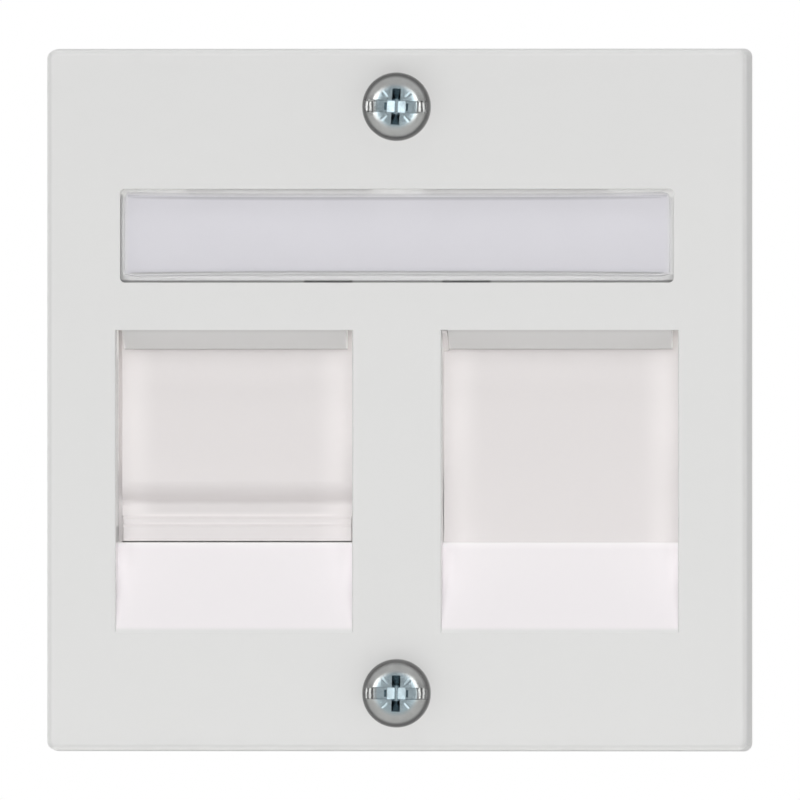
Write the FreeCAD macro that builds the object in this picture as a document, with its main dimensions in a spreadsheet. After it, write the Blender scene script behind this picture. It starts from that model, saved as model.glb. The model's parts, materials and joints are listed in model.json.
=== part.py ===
"""Two-port data outlet centre plate, 50 x 50 mm, with a label field, a dust shutter and a blank.

Millimetres. +Z is up, the front looks along -Y, and the origin is the middle of the rear rim.
A depth is counted from the front face towards the wall, so a plane at depth d lies at y = d - plate_depth.
"""

import FreeCAD, Part
import os
import re

import Sketcher

# Driving dimensions, in millimetres, with the draft and the tilt in degrees
SIZES = {
    # Shell of the plate
    "plate_width": 50.0,
    "plate_height": 50.0,
    "plate_depth": 9.0,
    "plate_draft": 1.5,
    "plate_corner": 0.6,
    "front_edge": 0.4,
    "front_wall": 2.0,
    "skirt_wall": 1.5,
    "cavity_corner": 0.5,
    # Fixing screws and the bosses that hold them
    "screw_edge": 4.25,
    "boss_diameter": 6.0,
    "boss_setback": 1.0,
    "boss_bore": 2.8,
    "web_thickness": 0.8,
    "web_bore": 2.3,
    "head_diameter": 4.85,
    "head_height": 1.9,
    "head_rim": 0.65,
    "head_flat": 2.9,
    "shank_diameter": 2.0,
    "thread_diameter": 2.5,
    "thread_gap": 0.3,
    "screw_length": 16.0,
    "screw_point": 0.35,
    "drive_slot": 0.8,
    "drive_slot_depth": 0.7,
    "cross_span": 2.7,
    "cross_arm": 0.75,
    "cross_depth": 1.35,
    "cross_foot_span": 1.5,
    "cross_foot_arm": 0.4,
    "drive_tilt": 3.0,
    # Label field, its window and its card
    "label_width": 39.2,
    "label_height": 6.62,
    "label_rise": 11.62,
    "label_depth": 1.2,
    "label_corner": 0.35,
    "window_gap": 0.15,
    "window_corner": 0.7,
    "window_inset": 0.05,
    "window_bevel": 0.42,
    "window_bevel_depth": 0.3,
    "catch_reach": 0.55,
    "catch_gap": 0.1,
    "catch_thickness": 0.35,
    "tongue_start": 1.85,
    "tongue_length": 13.15,
    "tab_start": 3.2,
    "tab_length": 3.4,
    "card_thickness": 0.2,
    "card_side_gap": 0.5,
    "card_top_gap": 0.4,
    "card_foot_gap": 0.7,
    # Ports, with heights counted from the middle of the plate
    "port_spacing": 23.07,
    "port_width": 16.75,
    "port_top": 4.94,
    "port_bottom": 16.49,
    "port_edge": 0.12,
    "sill_drop": 10.1,
    "sill_lip": 0.8,
    "recess_depth": 4.0,
    "lintel_drop": 1.42,
    "lintel_wall": 1.2,
    "lintel_notch": 0.45,
    "lintel_nose": 0.25,
    # Guide rails behind the ports
    "ledge_setback": 0.55,
    "channel_width": 0.98,
    "rail_wall": 1.1,
    "hook_reach": 0.6,
    "hook_height": 0.9,
    "hook_length": 3.0,
    "stop_thickness": 1.6,
    "tie_thickness": 1.0,
    "tie_height": 3.0,
    # Shutter and blank
    "leaf_overlap": 0.8,
    "guide_thickness": 0.9,
    "slide_gap": 0.1,
    "shutter_play": 0.35,
    "shutter_travel": 11.0,
    "lip_gap": 0.1,
    "lip_height": 1.2,
    "lip_step": 0.2,
    "lip_land": 0.56,
    "lip_relief": 0.1,
    "lip_flank": 1.05,
    "groove_depth": 0.85,
    "groove_run": 1.4,
    "groove_round": 0.5,
    "blank_gap": 0.04,
    "lug_gap": 0.04,
    "lug_front": 0.35,
}

HOOKS_PER_RAIL = 4
TIES_PER_RAIL = 3
SIDES = (-1, 1)

# Lines and planes that several pieces share, as expressions in the sizes above
FRONT = "(-plate_depth)"
WALL_BACK = "(front_wall - plate_depth)"
DRAFT_PER_MM = "tan(plate_draft * 1 deg)"
SCREW_UP = "(plate_height / 2 - screw_edge)"
LABEL_TOP = "(label_rise + label_height / 2)"
LABEL_FOOT = "(label_rise - label_height / 2)"
WINDOW_BACK = "(label_depth - card_thickness)"
CATCH_FRONT = f"({WINDOW_BACK} - catch_thickness - catch_gap)"
TONGUE_SPAN = ("tongue_start", "(tongue_start + tongue_length)")
TAB_SPAN = ("tab_start", "(tab_start + tab_length)")
PORT_X = "(port_spacing / 2)"
PORT_HALF = "(port_width / 2)"
RAIL_INNER = f"({PORT_HALF} + channel_width)"
RAIL_OUTER = f"({RAIL_INNER} + rail_wall)"
SILL = "(-sill_drop)"
FACE = "(recess_depth - plate_depth)"
LEDGE = "(recess_depth + ledge_setback)"
LEAF_BACK = f"({LEDGE} + slide_gap + guide_thickness)"
HOOK_FACE = f"({LEAF_BACK} + slide_gap)"
RAIL_DEPTH = f"({HOOK_FACE} + hook_height)"
LEAF_TOP = "(port_top + leaf_overlap)"
STOP = f"({LEAF_TOP} + shutter_travel + slide_gap)"
RAIL_LENGTH = f"({STOP} - {SILL})"
HOOK_PITCH = f"({RAIL_LENGTH} / {HOOKS_PER_RAIL})"
TIE_PITCH = f"({RAIL_LENGTH} / {TIES_PER_RAIL})"

doc = FreeCAD.newDocument("wall_plate")
dims = doc.addObject("Spreadsheet::Sheet", "dims")
for row, (alias, value) in enumerate(SIZES.items(), start=1):
    dims.set(f"A{row}", alias)
    dims.set(f"B{row}", str(value))
    dims.setAlias(f"B{row}", alias)
doc.recompute()


def bound(text):
    """An expression in size names, with each name pointed at the sheet."""
    return re.sub(r"[a-z_]+", lambda m: f"dims.{m[0]}" if m[0] in SIZES else m[0], text)


def size(text):
    """The number that an expression in size names stands for."""
    return float(dims.evalExpression(text))


def depth_y(depth):
    """The y of a plane at a depth behind the front face, as an expression."""
    return f"({depth} - plate_depth)"


def new_body(label):
    body = doc.addObject("PartDesign::Body", label)
    body.Label = label
    return body


def origin_feature(body, role):
    return next(f for f in body.Origin.OriginFeatures if f.Role == role)


def new_sketch(body, name, plane, offset="0"):
    """A sketch on one of the body's origin planes, moved along that plane's normal."""
    sketch = body.newObject("Sketcher::SketchObject", name)
    sketch.AttachmentSupport = [(origin_feature(body, plane), "")]
    sketch.MapMode = "FlatFace"
    sketch.setExpression(".AttachmentOffset.Base.z", bound(offset))
    return sketch


def front_sketch(body, name, depth):
    """A sketch seen from the front, X to the right and Z up, at a depth behind the front face."""
    return new_sketch(body, name, "XZ_Plane", f"plate_depth - {depth}")


def pin(sketch, geometry, vertex, across, up):
    """Hold a point of the sketch at two expressions."""
    for kind, text in (("DistanceX", across), ("DistanceY", up)):
        index = sketch.addConstraint(Sketcher.Constraint(kind, geometry, vertex, size(text)))
        sketch.setExpression(f"Constraints[{index}]", bound(text))


def add_outline(sketch, points):
    """A closed outline, run anticlockwise.

    A point is (across, up). With a third value, the run to the next point is an outward arc of that radius.
    """
    corners = [FreeCAD.Vector(size(p[0]), size(p[1]), 0) for p in points]
    ends = corners[1:] + corners[:1]
    first = sketch.GeometryCount
    for point, start, end in zip(points, corners, ends):
        if len(point) == 2:
            sketch.addGeometry(Part.LineSegment(start, end))
            continue
        radius = size(point[2])
        chord = end - start
        outward = FreeCAD.Vector(chord.y, -chord.x, 0).normalize()
        bulge = radius - (radius**2 - (chord.Length / 2) ** 2) ** 0.5
        sketch.addGeometry(Part.Arc(start, (start + end) / 2 + outward * bulge, end))
    for i, point in enumerate(points):
        here, after = first + i, first + (i + 1) % len(points)
        sketch.addConstraint(Sketcher.Constraint("Coincident", here, 2, after, 1))
        pin(sketch, here, 1, point[0], point[1])
        if len(point) == 3:
            index = sketch.addConstraint(Sketcher.Constraint("Radius", here, size(point[2])))
            sketch.setExpression(f"Constraints[{index}]", bound(point[2]))


def add_box(sketch, sides, foot, top):
    """A plain rectangle. Its two sides are given in either order."""
    left, right = sorted(sides, key=size)
    add_outline(sketch, [(left, foot), (right, foot), (right, top), (left, top)])


def add_rounded_box(sketch, half_width, foot, top, corner):
    """A rectangle about the sketch's upright axis, with quarter circles for corners."""
    add_outline(
        sketch,
        [
            (f"-({half_width} - {corner})", foot),
            (f"({half_width} - {corner})", foot, corner),
            (half_width, f"({foot} + {corner})"),
            (half_width, f"({top} - {corner})", corner),
            (f"({half_width} - {corner})", top),
            (f"-({half_width} - {corner})", top, corner),
            (f"-{half_width}", f"({top} - {corner})"),
            (f"-{half_width}", f"({foot} + {corner})", corner),
        ],
    )


def add_circle(sketch, across, up, diameter):
    centre = FreeCAD.Vector(size(across), size(up), 0)
    circle = sketch.addGeometry(Part.Circle(centre, FreeCAD.Vector(0, 0, 1), size(diameter) / 2))
    pin(sketch, circle, 3, across, up)
    index = sketch.addConstraint(Sketcher.Constraint("Diameter", circle, size(diameter)))
    sketch.setExpression(f"Constraints[{index}]", bound(diameter))


def add_feature(body, kind, name, sketch, length, reverse=False, midplane=False):
    """A Pad or Pocket of a sketch, checked to have changed the body's volume the right way."""
    doc.recompute()
    before = body.Tip.Shape.Volume if body.Tip else 0.0
    feature = body.newObject(f"PartDesign::{kind}", name)
    feature.Profile = sketch
    feature.setExpression("Length", bound(length))
    feature.Reversed = reverse
    feature.Midplane = midplane
    doc.recompute()
    gain = feature.Shape.Volume - before
    if (gain > 0) != (kind == "Pad"):
        raise RuntimeError(f"{name} changed the volume by {gain:.4f} mm3")
    return feature


def add_loft(body, kind, name, sketches):
    doc.recompute()
    loft = body.newObject(f"PartDesign::{kind}", name)
    loft.Profile = sketches[0]
    loft.Sections = sketches[1:]
    loft.Ruled = True
    doc.recompute()
    return loft


def set_row(pattern, body, pitch, count):
    """Set a LinearPattern to run upwards."""
    pattern.Direction = (origin_feature(body, "Z_Axis"), [""])
    pattern.Occurrences = count
    pattern.setExpression("Length", bound(f"{pitch} * {count - 1}"))


def set_mirror(mirror, body):
    """Set a Mirrored feature to reflect left and right."""
    mirror.MirrorPlane = (origin_feature(body, "YZ_Plane"), [""])


def add_fillet(body, name, radius, test):
    """Round the edges whose two ends and middle all pass a test on their points."""
    doc.recompute()
    base = body.Tip
    names = []
    for number, edge in enumerate(base.Shape.Edges, start=1):
        reach = edge.LastParameter - edge.FirstParameter
        points = [edge.valueAt(edge.FirstParameter + reach * share) for share in (0.0, 0.5, 1.0)]
        if all(test(point) for point in points):
            names.append(f"Edge{number}")
    if not names:
        raise RuntimeError(f"{name} found no edge")
    fillet = body.newObject("PartDesign::Fillet", name)
    fillet.Base = (base, names)
    fillet.setExpression("Radius", bound(radius))
    doc.recompute()
    return fillet


def near(a, b):
    return abs(a - b) < 1e-4


def add_shell(body):
    """The drafted shell: outer form, front edge, and the cavity behind the front wall."""
    rim_w, rim_h = "(plate_width / 2)", "(plate_height / 2)"
    taper = f"plate_depth * {DRAFT_PER_MM}"
    front_w, front_h = f"({rim_w} - {taper})", f"({rim_h} - {taper})"
    rear = front_sketch(body, "rear_outline", "plate_depth")
    add_rounded_box(rear, rim_w, f"-{rim_h}", rim_h, "plate_corner")
    front = front_sketch(body, "front_outline", "0")
    add_rounded_box(front, front_w, f"-{front_h}", front_h, "plate_corner")
    add_loft(body, "AdditiveLoft", "outer_form", [rear, front])
    front_y = size(FRONT)
    add_fillet(body, "front_rounding", "front_edge", lambda point: near(point.y, front_y))

    mouth_w, mouth_h = f"({rim_w} - skirt_wall)", f"({rim_h} - skirt_wall)"
    taper = f"(plate_depth - front_wall) * {DRAFT_PER_MM}"
    floor_w, floor_h = f"({mouth_w} - {taper})", f"({mouth_h} - {taper})"
    mouth = front_sketch(body, "cavity_mouth", "plate_depth")
    add_rounded_box(mouth, mouth_w, f"-{mouth_h}", mouth_h, "cavity_corner")
    floor = front_sketch(body, "cavity_floor", "front_wall")
    add_rounded_box(floor, floor_w, f"-{floor_h}", floor_h, "cavity_corner")
    add_loft(body, "SubtractiveLoft", "cavity", [mouth, floor])


def screw_circles(body, name, depth, diameter):
    """A sketch with a circle on each screw's axis."""
    sketch = front_sketch(body, name, depth)
    for side in SIDES:
        add_circle(sketch, "0", f"{side} * {SCREW_UP}", diameter)
    return sketch


def add_bosses(body):
    boss_end = "(plate_depth - boss_setback)"
    outline = screw_circles(body, "boss_outline", boss_end, "boss_diameter")
    add_feature(body, "Pad", "bosses", outline, f"{boss_end} - front_wall")


def add_screw_holes(body):
    """A bore through each boss. The web left at its end keeps the thin-shanked screw from falling out."""
    bores = screw_circles(body, "bore_outline", "0", "boss_bore")
    add_feature(body, "Pocket", "bores", bores, "plate_depth - boss_setback - web_thickness")
    webs = screw_circles(body, "web_outline", "0", "web_bore")
    add_feature(body, "Pocket", "web_bores", webs, "plate_depth")


def add_rails(body):
    """L-shaped rails beside the right port, from the sill to the end stops. Returns them, to be mirrored."""
    rails = new_sketch(body, "rail_section", "XY_Plane", SILL)
    stops = new_sketch(body, "stop_section", "XY_Plane", STOP)
    for side in SIDES:
        port, channel, outer = (f"({PORT_X} + {side} * {reach})" for reach in (PORT_HALF, RAIL_INNER, RAIL_OUTER))
        ledge, back = depth_y(LEDGE), depth_y(RAIL_DEPTH)
        section = [
            (port, WALL_BACK),
            (outer, WALL_BACK),
            (outer, back),
            (channel, back),
            (channel, ledge),
            (port, ledge),
        ]
        add_outline(rails, section if side > 0 else section[::-1])
        add_box(stops, (port, outer), WALL_BACK, back)
    return [
        add_feature(body, "Pad", "rails", rails, RAIL_LENGTH),
        add_feature(body, "Pad", "end_stops", stops, "stop_thickness"),
    ]


def add_opening(body):
    """The right port's sill, opening and lintel. Returns the features, to be mirrored."""
    # The sill closes the rails below and backs the scoop with a wall of even thickness
    run = "((port_bottom - sill_drop) / recess_depth)"
    sill_foot = f"(-sill_drop - {run} * ({HOOK_FACE} - front_wall))"
    sill = new_sketch(body, "sill_section", "YZ_Plane", PORT_X)
    add_outline(sill, [(WALL_BACK, sill_foot), (depth_y(HOOK_FACE), SILL), (WALL_BACK, SILL)])
    sill_pad = add_feature(body, "Pad", "sill", sill, f"2 * {RAIL_OUTER}", midplane=True)

    # One cut makes the opening and the scoop that slopes out to the front face
    before_front = "(-front_wall - plate_depth)"
    opening = new_sketch(body, "opening_section", "YZ_Plane", PORT_X)
    add_outline(
        opening,
        [
            (before_front, "-port_bottom"),
            (FRONT, "-port_bottom"),
            (FACE, SILL),
            (depth_y(RAIL_DEPTH), SILL),
            (depth_y(RAIL_DEPTH), "port_top"),
            (before_front, "port_top"),
        ],
    )
    opening_cut = add_feature(body, "Pocket", "opening", opening, "port_width", midplane=True)

    # The lintel slopes in under the front wall and stops short of both side walls
    lintel_back = depth_y("recess_depth - slide_gap")
    lintel = new_sketch(body, "lintel_section", "YZ_Plane", PORT_X)
    add_outline(
        lintel,
        [
            (FRONT, "port_top"),
            (lintel_back, "port_top - lintel_drop"),
            (lintel_back, "port_top - lintel_drop + lintel_wall"),
            (WALL_BACK, "port_top + lintel_wall"),
            (WALL_BACK, "port_top"),
        ],
    )
    lintel_pad = add_feature(body, "Pad", "lintel", lintel, "port_width - 2 * lintel_notch", midplane=True)

    # A lip stands on a haunch behind the sill and covers the gap under the leaf
    lip_top = f"({SILL} + sill_lip)"
    haunch = (depth_y(f"({HOOK_FACE} - hook_height)"), f"({SILL} - {run} * hook_height)")
    lip = new_sketch(body, "sill_lip_section", "YZ_Plane", PORT_X)
    add_outline(
        lip,
        [
            haunch,
            (depth_y(RAIL_DEPTH), SILL),
            (depth_y(RAIL_DEPTH), lip_top),
            (depth_y(HOOK_FACE), lip_top),
            (depth_y(HOOK_FACE), SILL),
        ],
    )
    lip_pad = add_feature(body, "Pad", "sill_lip", lip, f"2 * {RAIL_INNER}", midplane=True)
    return [sill_pad, opening_cut, lintel_pad, lip_pad]


def add_ports(body):
    """Both ports: the right one is modelled and the left one mirrors it."""
    features = add_rails(body) + add_opening(body)
    mirror = body.newObject("PartDesign::Mirrored", "left_port")
    mirror.Originals = features
    set_mirror(mirror, body)
    body.Tip = mirror
    doc.recompute()


def add_hooks(body):
    """Snap hooks in a row along each rail."""
    outline = new_sketch(body, "hook_section", "XY_Plane", f"{SILL} + ({HOOK_PITCH} - hook_length) / 2")
    for side in SIDES:
        wall = f"({PORT_X} + {side} * {RAIL_INNER})"
        tip = f"({PORT_X} + {side} * ({RAIL_INNER} - hook_reach))"
        corners = [(wall, depth_y(HOOK_FACE)), (wall, depth_y(RAIL_DEPTH)), (tip, depth_y(HOOK_FACE))]
        add_outline(outline, corners if side > 0 else corners[::-1])
    hook = add_feature(body, "Pad", "hook", outline, "hook_length")
    hooks = body.newObject("PartDesign::MultiTransform", "hooks")
    row = body.newObject("PartDesign::LinearPattern", "hook_row")
    set_row(row, body, HOOK_PITCH, HOOKS_PER_RAIL)
    mirror = body.newObject("PartDesign::Mirrored", "hook_mirror")
    set_mirror(mirror, body)
    hooks.Originals = [hook]
    hooks.Transformations = [row, mirror]
    body.Tip = hooks
    doc.recompute()


def add_ties(body):
    """Short ribs that tie the rails to each other and to the skirt."""
    tie_end = "(front_wall + tie_height)"
    foot = f"({SILL} + ({TIE_PITCH} - tie_thickness) / 2)"
    top = f"({foot} + tie_thickness)"
    inner = f"({PORT_X} - {RAIL_OUTER})"
    outer = f"({PORT_X} + {RAIL_OUTER})"
    in_skirt = "(plate_width / 2 - skirt_wall)"
    outline = front_sketch(body, "tie_outline", tie_end)
    add_box(outline, (f"-{inner}", inner), foot, top)
    for side in SIDES:
        add_box(outline, (f"{side} * {outer}", f"{side} * {in_skirt}"), foot, top)
    tie = add_feature(body, "Pad", "tie", outline, "tie_height")
    ties = body.newObject("PartDesign::LinearPattern", "ties")
    ties.Originals = [tie]
    set_row(ties, body, TIE_PITCH, TIES_PER_RAIL)
    body.Tip = ties
    doc.recompute()


def add_label_pocket(body):
    """The label field, with slots through its edges for the window's tongues and tabs."""
    pocket = front_sketch(body, "label_outline", "0")
    add_rounded_box(pocket, "(label_width / 2)", LABEL_FOOT, LABEL_TOP, "label_corner")
    add_feature(body, "Pocket", "label_pocket", pocket, "label_depth")
    slots = front_sketch(body, "catch_slots_outline", RAIL_DEPTH)
    for side in SIDES:
        above = [f"{side} * {end}" for end in TONGUE_SPAN]
        add_box(slots, above, LABEL_TOP, f"({LABEL_TOP} + catch_reach)")
        below = [f"{side} * {end}" for end in TAB_SPAN]
        add_box(slots, below, f"({LABEL_FOOT} - catch_reach)", LABEL_FOOT)
    add_feature(body, "Pocket", "catch_slots", slots, f"{RAIL_DEPTH} - {CATCH_FRONT}", reverse=True)


def add_port_rounding(body):
    """Soften the upright front edges of both ports, and the noses of their lintels."""
    middle, half, front_y = size(PORT_X), size(PORT_HALF), size(FRONT)
    nose_y, nose_up = size(depth_y("recess_depth - slide_gap")), size("port_top - lintel_drop")
    foot, top = size("-port_bottom"), size("port_top")

    def on_upright_edge(point):
        beside = near(abs(abs(point.x) - middle), half)
        return near(point.y, front_y) and beside and foot - 1e-4 <= point.z <= top + 1e-4

    def on_nose(point):
        return near(point.y, nose_y) and near(point.z, nose_up)

    add_fillet(body, "port_rounding", "port_edge", on_upright_edge)
    add_fillet(body, "lintel_rounding", "lintel_nose", on_nose)


def build_face_plate():
    body = new_body("face_plate")
    add_shell(body)
    add_bosses(body)
    add_ports(body)
    add_hooks(body)
    add_ties(body)
    add_label_pocket(body)
    add_screw_holes(body)
    add_port_rounding(body)
    return body


def build_label_window():
    """Clear cover: a slab with a bevelled front, tongues along the top and snap tabs below."""
    body = new_body("label_window")
    half = "(label_width / 2 - window_gap)"
    foot, top = f"({LABEL_FOOT} + window_gap)", f"({LABEL_TOP} - window_gap)"
    shoulder = "(window_inset + window_bevel_depth)"
    slab = front_sketch(body, "slab_outline", WINDOW_BACK)
    add_rounded_box(slab, half, foot, top, "window_corner")
    add_feature(body, "Pad", "slab", slab, f"{WINDOW_BACK} - {shoulder}")

    bevel_foot = front_sketch(body, "bevel_foot", shoulder)
    add_rounded_box(bevel_foot, half, foot, top, "window_corner")
    bevel_top = front_sketch(body, "bevel_top", "window_inset")
    flat_corner = "(window_corner - window_bevel / 2)"
    flat_foot, flat_top = f"({foot} + window_bevel)", f"({top} - window_bevel)"
    add_rounded_box(bevel_top, f"({half} - window_bevel)", flat_foot, flat_top, flat_corner)
    add_loft(body, "AdditiveLoft", "bevel", [bevel_foot, bevel_top])

    reach = "(catch_reach - catch_gap)"
    catches = front_sketch(body, "catch_outline", WINDOW_BACK)
    for side in SIDES:
        above = (f"{side} * ({TONGUE_SPAN[0]} + catch_gap)", f"{side} * ({TONGUE_SPAN[1]} - catch_gap)")
        add_box(catches, above, top, f"({LABEL_TOP} + {reach})")
        below = (f"{side} * ({TAB_SPAN[0]} + catch_gap)", f"{side} * ({TAB_SPAN[1]} - catch_gap)")
        add_box(catches, below, f"({LABEL_FOOT} - {reach})", foot)
    add_feature(body, "Pad", "catches", catches, "catch_thickness")
    return body


def build_label_strip():
    """The card behind the window, on the floor of the label field."""
    body = new_body("label_strip")
    half = "(label_width / 2 - card_side_gap)"
    card = front_sketch(body, "card_outline", "label_depth")
    add_box(card, (f"-{half}", half), f"({LABEL_FOOT} + card_foot_gap)", f"({LABEL_TOP} - card_top_gap)")
    add_feature(body, "Pad", "card", card, "card_thickness")
    return body


def build_dust_shutter():
    """Sliding leaf of the left port: flat face, finger groove, stepped lip, and guides that run in the rails.

    It hangs towards the right of its play, so the gap on its left is the wide one.
    """
    body = new_body("dust_shutter")
    half = f"({PORT_HALF} - shutter_play / 2)"
    middle = f"(shutter_play / 2 - slide_gap - {PORT_X})"
    back = depth_y(LEAF_BACK)
    lip_foot = f"({SILL} + lip_gap)"
    lip_top = f"({lip_foot} + lip_height)"
    land_top = f"({lip_top} + lip_land)"
    groove_foot = f"({land_top} + lip_flank)"
    groove_top = f"({groove_foot} + groove_run)"
    run_in_radius = "((groove_depth ^ 2 + groove_run ^ 2) / (2 * groove_depth))"
    section = new_sketch(body, "leaf_section", "YZ_Plane", middle)
    add_outline(
        section,
        [
            (back, lip_foot),
            (back, LEAF_TOP),
            (FACE, LEAF_TOP),
            (FACE, groove_top, run_in_radius),
            (f"({FACE} + groove_depth)", groove_foot),
            (f"({FACE} + 2 * lip_step)", land_top),
            (f"({FACE} + lip_step)", f"({land_top} - lip_step)"),
            (f"({FACE} + lip_step)", lip_top),
            (FACE, f"({lip_top} - lip_step)"),
            (FACE, lip_foot),
        ],
    )
    add_feature(body, "Pad", "leaf", section, f"2 * {half}", midplane=True)
    floor_y, floor_up = size(f"{FACE} + groove_depth"), size(groove_foot)

    def on_groove_floor(point):
        return near(point.y, floor_y) and near(point.z, floor_up)

    add_fillet(body, "groove_rounding", "groove_round", on_groove_floor)

    relief = front_sketch(body, "lip_relief_outline", "recess_depth")
    guides = front_sketch(body, "guide_outline", LEAF_BACK)
    for side in SIDES:
        edge = f"({middle} + {side} * {half})"
        add_box(relief, (edge, f"({edge} - {side} * lip_relief)"), lip_foot, land_top)
        add_box(guides, (edge, f"({edge} + {side} * channel_width)"), SILL, LEAF_TOP)
    add_feature(body, "Pocket", "lip_relief_cuts", relief, "ledge_setback")
    add_feature(body, "Pad", "guides", guides, "guide_thickness")
    return body


def build_blank_insert():
    """Plain leaf of the right port, seated on the sill. A lug in one lintel notch keeps it from sliding."""
    body = new_body("blank_insert")
    half = f"({PORT_HALF} - blank_gap)"
    plate = front_sketch(body, "plate_outline", HOOK_FACE)
    reach = f"({half} + channel_width)"
    add_box(plate, (f"({PORT_X} - {reach})", f"({PORT_X} + {reach})"), SILL, LEAF_TOP)
    add_feature(body, "Pad", "back_plate", plate, f"{HOOK_FACE} - {LEDGE}")
    panel = front_sketch(body, "panel_outline", LEDGE)
    add_box(panel, (f"({PORT_X} - {half})", f"({PORT_X} + {half})"), SILL, LEAF_TOP)
    add_feature(body, "Pad", "panel", panel, "ledge_setback")

    lug_middle = f"({PORT_X} - {PORT_HALF} + lintel_notch / 2)"
    lug_top = "(port_top - lug_gap)"
    lug_front = depth_y("lug_front")
    lug = new_sketch(body, "lug_section", "YZ_Plane", lug_middle)
    add_outline(
        lug,
        [
            (lug_front, f"({lug_top} - lintel_drop * lug_front / recess_depth)"),
            (FACE, f"({lug_top} - lintel_drop)"),
            (FACE, lug_top),
            (lug_front, lug_top),
        ],
    )
    add_feature(body, "Pad", "lug", lug, "lintel_notch - 2 * lug_gap", midplane=True)
    return body


def cross_outline(span, arm):
    """The twelve corners of a plus shape."""
    far, slim = f"{span} / 2", f"{arm} / 2"
    arm_end = [(far, f"-({slim})"), (far, slim), (slim, slim)]
    points = []
    for _ in range(4):
        points += arm_end
        arm_end = [(f"-({up})", across) for across, up in arm_end]
    return points


def build_screw(label, up):
    """Pan head screw with a slot and a cross recess, a thin shank, and its thread as a plain cylinder."""
    body = new_body(label)
    thread_start = "(thread_gap - boss_setback)"
    tip = "(screw_length - plate_depth)"
    top, rim = "(-plate_depth - head_height)", "(-plate_depth - head_rim)"
    rise, spread = "(head_height - head_rim)", "((head_diameter - head_flat) / 2)"
    crown_radius = f"(({rise} ^ 2 + {spread} ^ 2) / (2 * {spread}))"
    profile = new_sketch(body, "turned_profile", "YZ_Plane")
    add_outline(
        profile,
        [
            (top, "0"),
            (tip, "0"),
            (tip, "(thread_diameter / 2 - screw_point)"),
            (f"({tip} - screw_point)", "(thread_diameter / 2)"),
            (thread_start, "(thread_diameter / 2)"),
            (thread_start, "(shank_diameter / 2)"),
            (FRONT, "(shank_diameter / 2)"),
            (FRONT, "(head_diameter / 2)"),
            (rim, "(head_diameter / 2)", crown_radius),
            (top, "(head_flat / 2)"),
        ],
    )
    doc.recompute()
    turned = body.newObject("PartDesign::Revolution", "turned")
    turned.Profile = profile
    turned.ReferenceAxis = (profile, ["H_Axis"])
    turned.Angle = 360.0
    doc.recompute()

    slot = front_sketch(body, "slot_outline", "(-head_height)")
    add_box(slot, ("(-head_diameter / 2)", "(head_diameter / 2)"), "(-drive_slot / 2)", "(drive_slot / 2)")
    add_feature(body, "Pocket", "slot", slot, "drive_slot_depth")
    mouth = front_sketch(body, "cross_mouth", "(-head_height)")
    add_outline(mouth, cross_outline("cross_span", "cross_arm"))
    foot = front_sketch(body, "cross_foot", "(cross_depth - head_height)")
    add_outline(foot, cross_outline("cross_foot_span", "cross_foot_arm"))
    add_loft(body, "SubtractiveLoft", "cross", [mouth, foot])

    body.Placement.Rotation = FreeCAD.Rotation(FreeCAD.Vector(0, 1, 0), size("drive_tilt"))
    body.setExpression(".Placement.Base.z", bound(up))
    doc.recompute()
    return body


def main():
    pieces = [
        build_face_plate(),
        build_label_window(),
        build_label_strip(),
        build_dust_shutter(),
        build_blank_insert(),
        build_screw("upper_screw", SCREW_UP),
        build_screw("lower_screw", f"-{SCREW_UP}"),
    ]
    doc.recompute()
    failed = [o.Name for o in doc.Objects if {"Invalid", "Error"} & set(o.State)]
    broken = [p.Label for p in pieces if p.Shape.isNull() or not p.Shape.isValid()]
    if failed or broken:
        raise RuntimeError(f"failed objects {failed}, broken shapes {broken}")
    split = [p.Label for p in pieces if len(p.Shape.Solids) != 1]
    if split:
        raise RuntimeError(f"not one solid: {split}")
    os.makedirs("parts", exist_ok=True)
    for piece in pieces:
        piece.Shape.exportStep(f"parts/{piece.Label}.step")
        print(f"{piece.Label}: {piece.Shape.Volume:.2f} mm3, {len(piece.Shape.Faces)} faces")


main()
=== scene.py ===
"""Looks of a data outlet centre plate: moulded plastic, label field, plated screws and a white studio."""

import json
import math

import bpy
from mathutils import Matrix, Vector

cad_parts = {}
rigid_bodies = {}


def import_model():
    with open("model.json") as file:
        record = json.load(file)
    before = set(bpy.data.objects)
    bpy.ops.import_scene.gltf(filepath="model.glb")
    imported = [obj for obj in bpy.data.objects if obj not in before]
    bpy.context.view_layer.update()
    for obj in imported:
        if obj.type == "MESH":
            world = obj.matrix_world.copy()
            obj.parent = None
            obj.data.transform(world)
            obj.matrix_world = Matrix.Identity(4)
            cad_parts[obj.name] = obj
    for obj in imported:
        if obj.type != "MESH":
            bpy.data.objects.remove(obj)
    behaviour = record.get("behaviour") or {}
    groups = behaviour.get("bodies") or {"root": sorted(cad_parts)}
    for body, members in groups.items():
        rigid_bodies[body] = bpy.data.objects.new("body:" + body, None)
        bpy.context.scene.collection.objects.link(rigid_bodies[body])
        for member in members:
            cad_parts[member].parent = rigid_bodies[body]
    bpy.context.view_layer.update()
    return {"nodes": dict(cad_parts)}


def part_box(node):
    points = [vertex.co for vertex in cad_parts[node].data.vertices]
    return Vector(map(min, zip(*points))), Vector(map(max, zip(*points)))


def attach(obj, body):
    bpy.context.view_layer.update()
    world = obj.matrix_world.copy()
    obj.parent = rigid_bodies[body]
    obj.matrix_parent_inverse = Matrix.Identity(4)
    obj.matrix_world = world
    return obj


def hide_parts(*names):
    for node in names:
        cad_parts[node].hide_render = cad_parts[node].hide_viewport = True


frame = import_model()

bl_info = {
    "name": "Outlet plate finish",
    "version": (1, 0, 0),
    "blender": (4, 5, 0),
    "location": "View3D > Sidebar > Outlet plate",
    "description": "Finishes and fine pieces of a data outlet centre plate",
    "category": "Object",
}

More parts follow.
